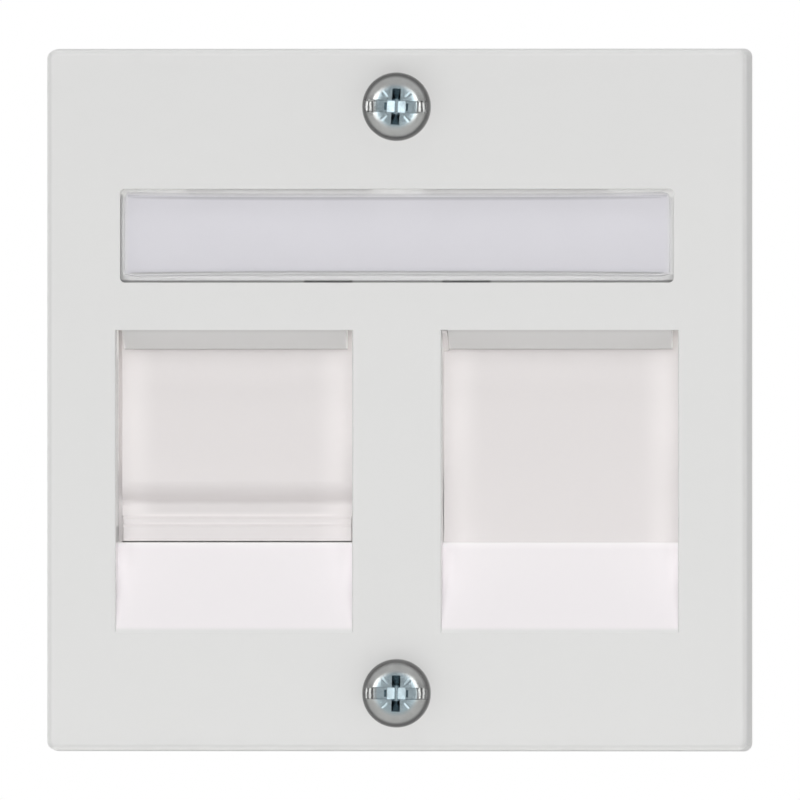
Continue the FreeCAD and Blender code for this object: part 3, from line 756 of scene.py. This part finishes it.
class PLATE_OT_mouldings(bpy.types.Operator):
    """Finish the plate, the shutter and the blank in satin moulded plastic."""

    bl_idname = "outlet_plate.mouldings"
    bl_label = "Finish mouldings"

    def execute(self, context):
        finish = context.scene.outlet_finish
        plate = moulded_plastic(
            "satin_white", finish.plate_colour, PLATE_ROUGHNESS, finish.plate_edge, plate_shades, finish
        )
        leaf = moulded_plastic(
            "satin_warm_white", finish.shutter_colour, LEAF_ROUGHNESS, finish.leaf_edge, leaf_shades, finish
        )
        for node, material in (("face_plate", plate), ("dust_shutter", leaf), ("blank_insert", leaf)):
            frame["nodes"][node].data.materials[0] = material
        return {"FINISHED"}


class PLATE_OT_label(bpy.types.Operator):
    """Clear the window and lay a card with slightly drawn-in edges behind it."""

    bl_idname = "outlet_plate.label"
    bl_label = "Make label"

    def execute(self, context):
        label = context.scene.outlet_label
        frame["nodes"]["label_window"].data.materials[0] = clear_plastic("clear_window")
        low = Vector((CARD_LOW.x, CARD_LOW.y + label.gap, CARD_LOW.z))
        size = CARD_HIGH - low
        bpy.ops.object.select_all(action="DESELECT")
        bpy.ops.mesh.primitive_cube_add(size=1.0, location=(low + CARD_HIGH) / 2)
        card = context.object
        card.name = "label_card"
        card.data.name = "label_card"
        card.scale = size
        settle(card)
        begin_shaping(card)
        bpy.ops.mesh.subdivide(number_cuts=CARD_CUTS)
        end_shaping()
        middle = (low.z + CARD_HIGH.z) / 2
        for vertex in card.data.vertices:
            along = vertex.co.x / CARD_HIGH.x
            height = (vertex.co.z - middle) / (size.z / 2)
            pull = label.top_dip if height > 0 else label.foot_rise
            vertex.co.z -= height * pull * (1.0 - along ** BOW_POWER)
        dress(card, card_stock("label_stock", context.scene.outlet_finish.card_colour, label))
        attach(card, "plate")
        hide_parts("label_strip")
        return {"FINISHED"}


class PLATE_OT_screws(bpy.types.Operator):
    """Model one plated pan head screw and set a copy at each fixing."""

    bl_idname = "outlet_plate.screws"
    bl_label = "Make screws"

    def head_rings(self, screw):
        """Rings of the head from the plate up: chamfer, rim, round edge and a dome with a flat middle."""
        slope = math.atan(screw.dome_drop * DOME_POWER / screw.shoulder_radius)
        edge = (screw.head_radius - screw.shoulder_radius) / (1 - math.sin(slope))
        rim = screw.head_height - screw.dome_drop - edge * math.cos(slope)
        rings = [
            (screw.head_radius - HEAD_CHAMFER, FRONT_Y),
            (screw.head_radius, FRONT_Y - HEAD_CHAMFER),
            (screw.head_radius, FRONT_Y - rim),
        ]
        for step in range(1, EDGE_STEPS + 1):
            angle = (math.pi / 2 - slope) * step / EDGE_STEPS
            radius = screw.head_radius - edge * (1 - math.cos(angle))
            rings.append((radius, FRONT_Y - rim - edge * math.sin(angle)))
        for step in range(1, DOME_STEPS):
            share = 1 - step / DOME_STEPS
            height = screw.head_height - screw.dome_drop * share ** DOME_POWER
            rings.append((screw.shoulder_radius * share, FRONT_Y - height))
        return rings

    def recess_cutters(self, screw):
        """Cutters of the slot, of the cross's arms and of its core, whose floor slopes to a middle line."""
        above = 0.1 * MM
        mouth_y = FRONT_Y - screw.head_height - above
        width = SLOT_REACH * screw.head_radius
        slot = screw.slot_width
        arm = screw.cross_arm
        span = screw.cross_span
        core = (screw.core_width, screw.core_height)
        cutters = []
        for name, mouth, foot, depth in (
            ("slot", (width, slot), (width, slot * SLOT_FOOT), screw.slot_depth),
            ("upright", (arm, span), (arm * UPRIGHT_FOOT_ARM, span * UPRIGHT_FOOT_SPAN), screw.cross_depth),
            ("level", (span * LEVEL_MOUTH_SPAN, arm), (span * LEVEL_FOOT_SPAN, arm * LEVEL_FOOT_ARM),
             screw.core_depth),
            ("core", core, core, screw.core_depth),
        ):
            cutters.append(tapered_block(name, mouth, foot, mouth_y, depth + above))
        floor_y = mouth_y + screw.core_depth + above
        floor_foot = (core[0] * CORE_FLOOR_FOOT[0], core[1] * CORE_FLOOR_FOOT[1])
        cutters.append(tapered_block("core_floor", core, floor_foot, floor_y, screw.core_fall))
        return cutters

    def tick_cutters(self, screw):
        """Cutters of the diagonal ticks, which follow the slight slope of the dome."""
        dome = [(radius, y) for radius, y in self.head_rings(screw) if radius < screw.shoulder_radius]
        inner = min(dome, key=lambda ring: abs(ring[0] - screw.tick_start))
        outer = min(dome, key=lambda ring: abs(ring[0] - screw.tick_end))
        lean = math.atan((outer[1] - inner[1]) / (outer[0] - inner[0]))
        reach = screw.tick_end - screw.tick_start
        middle = (screw.tick_start + screw.tick_end) / 2
        lift = 0.03 * MM
        depth = lift + screw.tick_depth
        mouth = (reach, screw.tick_width * depth / screw.tick_depth)
        foot = (reach, screw.tick_width * TICK_FOOT)
        cutters = []
        for corner in range(4):
            tick = tapered_block("tick", mouth, foot, -lift, depth)
            tick.rotation_euler.z = lean
            settle(tick)
            tick.location = (middle, (inner[1] + outer[1]) / 2, 0.0)
            settle(tick)
            tick.rotation_euler.y = math.pi / 4 + corner * math.pi / 2
            settle(tick)
            cutters.append(tick)
        return cutters

    def head(self, screw):
        """The head, with its slot, cross recess and diagonal ticks cut in."""
        head = turned("head", self.head_rings(screw), HEAD_SEGMENTS)
        carve(head, self.recess_cutters(screw) + self.tick_cutters(screw))
        return head

    def thread(self, screw, start_y, end_y):
        """A thread run up by the Screw modifier and cut square at both ends."""
        pitch = screw.thread_pitch
        bpy.ops.object.select_all(action="DESELECT")
        bpy.ops.mesh.primitive_plane_add(size=pitch)
        thread = bpy.context.object
        thread.name = "thread"
        # Round the plane, its corners become the root, the crest's two ends and the root again
        chain = [0, 1, 3, 2]
        root = screw.shank_radius
        crest = screw.crest_radius
        profile = ((root, 0.0), (crest, CREST_START), (crest, CREST_END), (root, 1.0))
        begin_shaping(thread)
        bpy.ops.mesh.delete(type="ONLY_FACE")
        bpy.ops.mesh.select_all(action="DESELECT")
        bpy.ops.mesh.select_mode(type="EDGE")
        end_shaping()
        for index, (radius, share) in zip(chain, profile):
            thread.data.vertices[index].co = (radius, start_y + (share - 1.0) * pitch, 0.0)
        for edge in thread.data.edges:
            edge.select = set(edge.vertices) == {chain[0], chain[-1]}
        bpy.ops.object.mode_set(mode="EDIT")
        bpy.ops.mesh.delete(type="EDGE")
        bpy.ops.mesh.select_mode(type="VERT")
        end_shaping()
        run = thread.modifiers.new("run", "SCREW")
        run.axis = "Y"
        run.screw_offset = pitch
        run.iterations = math.ceil((end_y - start_y) / pitch) + 2
        run.steps = THREAD_STEPS
        run.render_steps = THREAD_STEPS
        select_only(thread)
        bpy.ops.object.modifier_apply(modifier=run.name)
        close_seams(thread)
        for y, keep_back in ((start_y, True), (end_y, False)):
            begin_shaping(thread)
            bpy.ops.mesh.bisect(
                plane_co=(0.0, y, 0.0), plane_no=(0.0, 1.0, 0.0), use_fill=True,
                clear_inner=keep_back, clear_outer=not keep_back,
            )
            end_shaping()
        close_seams(thread)
        return thread

    def shank(self, screw, start_y, end_y):
        """The thin shank, the core inside the thread and the point."""
        thin = screw.shank_radius
        core = thin - 0.08 * MM
        inset = 0.1 * MM
        return turned("shank", [
            (thin, FRONT_Y - screw.head_height / 4),
            (thin, start_y + inset),
            (core, start_y + 2 * inset),
            (core, end_y - 2 * inset),
            (thin, end_y - inset),
            (thin, end_y),
            (thin * POINT_SHARE, SCREW_HIGH.y),
        ], SHANK_SEGMENTS)

    def execute(self, context):
        screw = context.scene.outlet_screw
        material = zinc_plate("bright_zinc", context.scene.outlet_finish, screw)
        start_y = -screw.thread_start
        end_y = SCREW_HIGH.y - screw.point_length
        pieces = [self.head(screw), self.thread(screw, start_y, end_y), self.shank(screw, start_y, end_y)]
        original = join("screw", pieces)
        smooth(original, SMOOTH_DEGREES)
        dress(original, material)
        for node, side, tilt in (
            ("upper_screw", 1, screw.upper_tilt),
            ("lower_screw", -1, screw.lower_tilt),
        ):
            copy = bpy.data.objects.new(f"{node}_plated", original.data.copy())
            context.scene.collection.objects.link(copy)
            fixing = Matrix.Translation((0.0, 0.0, side * SCREW_UP))
            copy.data.transform(fixing @ Matrix.Rotation(tilt, 4, "Y"))
            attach(copy, "plate")
            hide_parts(node)
        select_only(original)
        bpy.ops.object.delete()
        return {"FINISHED"}


class PLATE_OT_stage(bpy.types.Operator):
    """Set the camera, a pale floor, a light tent and three soft boxes."""

    bl_idname = "outlet_plate.stage"
    bl_label = "Set stage"

    def camera(self, context, stage):
        aim = Vector((stage.aim_right, FRONT_Y, 0.0))
        back = Vector((math.sin(stage.azimuth), -math.cos(stage.azimuth), 0.0))
        bpy.ops.object.camera_add(location=aim + back * stage.distance)
        camera = context.object
        camera.rotation_euler = (-back).to_track_quat("-Z", "Y").to_euler()
        camera.data.lens = stage.lens
        camera.data.sensor_width = 36.0
        camera.data.clip_end = 10.0
        context.scene.camera = camera

    def tent(self, context, stage):
        """A bright sweep behind the plate. Gloss sees a grey room with strips too, the lens only white."""
        world = bpy.data.worlds.new("light_tent")
        context.scene.world = world
        world.use_nodes = True
        sheet = NodeSheet(world.node_tree)
        right, back, up = sheet.axes(sheet.add("ShaderNodeTexCoord", output="Generated"))
        sweep = sheet.fade(back, *SWEEP_FADE)
        right_strip, left_strip = (
            sheet.fade(right, *start) * sheet.fall(right, *end) for start, end in (RIGHT_STRIP, LEFT_STRIP)
        )
        strip = (right_strip + left_strip) * sheet.fall(abs(up), *STRIP_END)
        glow = stage.back_light * sweep
        sides = sheet.fade(back, *SIDES_FADE) * (1.0 - sweep)
        ceiling = 1.0 + CEILING_LIFT * sheet.fade(up, *CEILING_FADE)
        grey = (stage.room_light * ceiling + stage.strip_light * strip) * (1.0 - sweep)
        lit, seen_in_gloss, shown = (
            sheet.add("ShaderNodeBackground", None, {"Color": WHITE, "Strength": strength})
            for strength in (glow + stage.side_light * sides, glow + grey, 1.0)
        )
        gloss = sheet.ray("Is Glossy Ray") * (1.0 - sheet.ray("Is Transmission Ray"))
        mixed = sheet.mix(gloss, lit, seen_in_gloss)
        mixed = sheet.mix(sheet.ray("Is Camera Ray"), mixed, shown)
        sheet.add("ShaderNodeOutputWorld", None, {"Surface": mixed})

    def soft_boxes(self, context, stage):
        """Large boxes in front of the plate. Black flags keep their light off the two screws."""
        middle = Vector((0.0, FRONT_Y, 0.0))
        flagged = bpy.data.collections.new("flagged")
        for piece in context.scene.objects:
            if piece.name.endswith("_plated"):
                flagged.objects.link(piece)
        for entry in flagged.collection_objects:
            entry.light_linking.link_state = "EXCLUDE"
        for name, (elevation, width, height), power in (
            ("key_box", KEY_BOX, stage.key_light),
            ("brow_box", BROW_BOX, stage.brow_light),
            ("top_box", TOP_BOX, stage.top_light),
        ):
            raised = Matrix.Rotation(math.radians(-elevation), 3, "X") @ Vector((0.0, -BOX_REACH, 0.0))
            bpy.ops.object.light_add(type="AREA", location=middle + raised)
            box = context.object
            box.name = name
            box.rotation_euler = (middle - box.location).to_track_quat("-Z", "Y").to_euler()
            box.light_linking.receiver_collection = flagged
            box.light_linking.blocker_collection = flagged
            box.data.shape = "RECTANGLE"
            box.data.size = width
            box.data.size_y = height
            box.data.energy = power

    def floor(self, context, stage):
        bpy.ops.object.select_all(action="DESELECT")
        bpy.ops.mesh.primitive_circle_add(
            vertices=FLOOR_SEGMENTS, radius=stage.floor_radius, fill_type="NGON",
            location=(0.0, 0.0, PLATE_LOW.z - stage.floor_drop),
        )
        floor = context.object
        floor.name = "floor"
        settle(floor)
        material, sheet = new_material("pale_floor")
        cloud = sheet.noise(sheet.place(), size=60 * MM)
        finish_material(sheet, {"Base Color": sheet.blend(cloud, *FLOOR_COLOURS), "Roughness": 0.7})
        dress(floor, material)

    def execute(self, context):
        stage = context.scene.outlet_stage
        context.scene.view_settings.view_transform = "Standard"
        # Keeps the light that passes the clear window
        context.scene.cycles.blur_glossy = 0.0
        self.camera(context, stage)
        self.tent(context, stage)
        self.soft_boxes(context, stage)
        self.floor(context, stage)
        return {"FINISHED"}


class PLATE_PT_sidebar(bpy.types.Panel):
    """Outlet plate tools in the 3D view's sidebar."""

    bl_idname = "PLATE_PT_sidebar"
    bl_label = "Outlet plate"
    bl_space_type = "VIEW_3D"
    bl_region_type = "UI"
    bl_category = "Outlet plate"

    def draw(self, context):
        for operator, group in zip(OPERATORS, GROUPS):
            settings = getattr(context.scene, group)
            box = self.layout.box()
            box.operator(operator.bl_idname)
            for name in settings.__annotations__:
                box.prop(settings, name)


# The settings and the operators stand in the same order
GROUPS = {
    "outlet_finish": PLATE_PG_finish,
    "outlet_label": PLATE_PG_label,
    "outlet_screw": PLATE_PG_screw,
    "outlet_stage": PLATE_PG_stage,
}
OPERATORS = (PLATE_OT_mouldings, PLATE_OT_label, PLATE_OT_screws, PLATE_OT_stage)


def register():
    for name, group in GROUPS.items():
        bpy.utils.register_class(group)
        setattr(bpy.types.Scene, name, bpy.props.PointerProperty(type=group))
    for kind in (*OPERATORS, PLATE_PT_sidebar):
        bpy.utils.register_class(kind)


def unregister():
    for kind in reversed((*OPERATORS, PLATE_PT_sidebar)):
        bpy.utils.unregister_class(kind)
    for name, group in reversed(GROUPS.items()):
        delattr(bpy.types.Scene, name)
        bpy.utils.unregister_class(group)


def main():
    register()
    bpy.ops.outlet_plate.mouldings()
    bpy.ops.outlet_plate.label()
    bpy.ops.outlet_plate.screws()
    bpy.ops.outlet_plate.stage()


if __name__ == "__main__":
    main()
